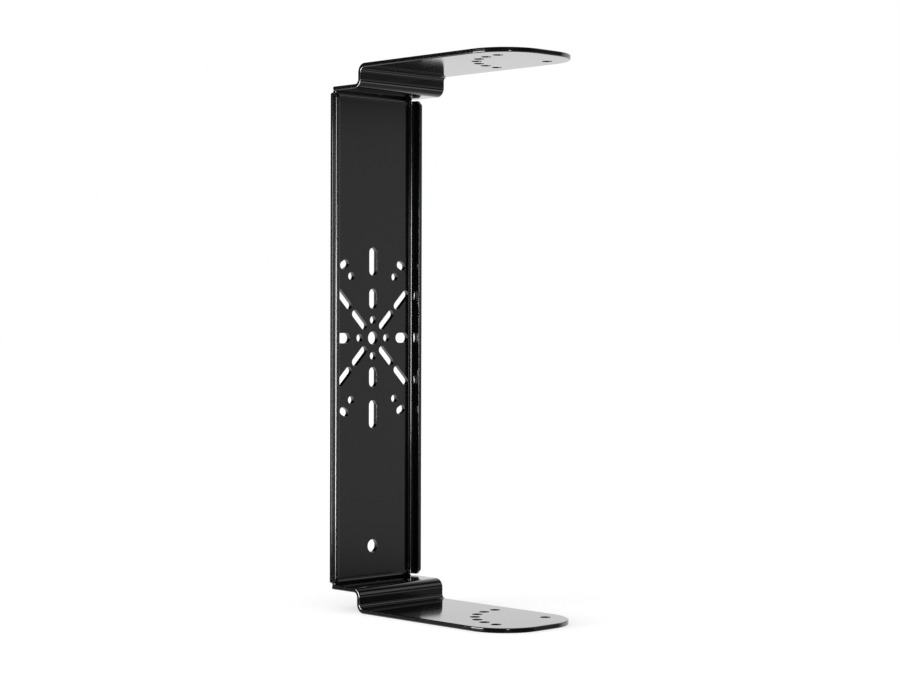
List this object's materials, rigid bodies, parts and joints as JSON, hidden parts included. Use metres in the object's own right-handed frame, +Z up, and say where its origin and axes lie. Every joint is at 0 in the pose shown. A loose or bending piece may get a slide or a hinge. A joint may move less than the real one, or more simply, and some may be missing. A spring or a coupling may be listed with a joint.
{
  "type": "speaker wall bracket",
  "caption": "Folded sheet wall bracket for a speaker: lipped wall plate with a star of holes and slots, stepped at both ends into arms with a pivot hole and a quarter ring of angle holes.",
  "frame": {"origin": "middle of the hole star, on the plate's face that lies against the wall", "axes": "+X across the bracket to the right seen from the front, +Y into the wall, +Z up; the arms reach out towards -Y"},
  "size_m": [0.08, 0.169, 0.3694],
  "materials": {
    "black_coat": "semi-gloss black coating on steel sheet"
  },
  "bodies": {
    "root": {"bracket": "black_coat"}
  },
  "joints": []
}
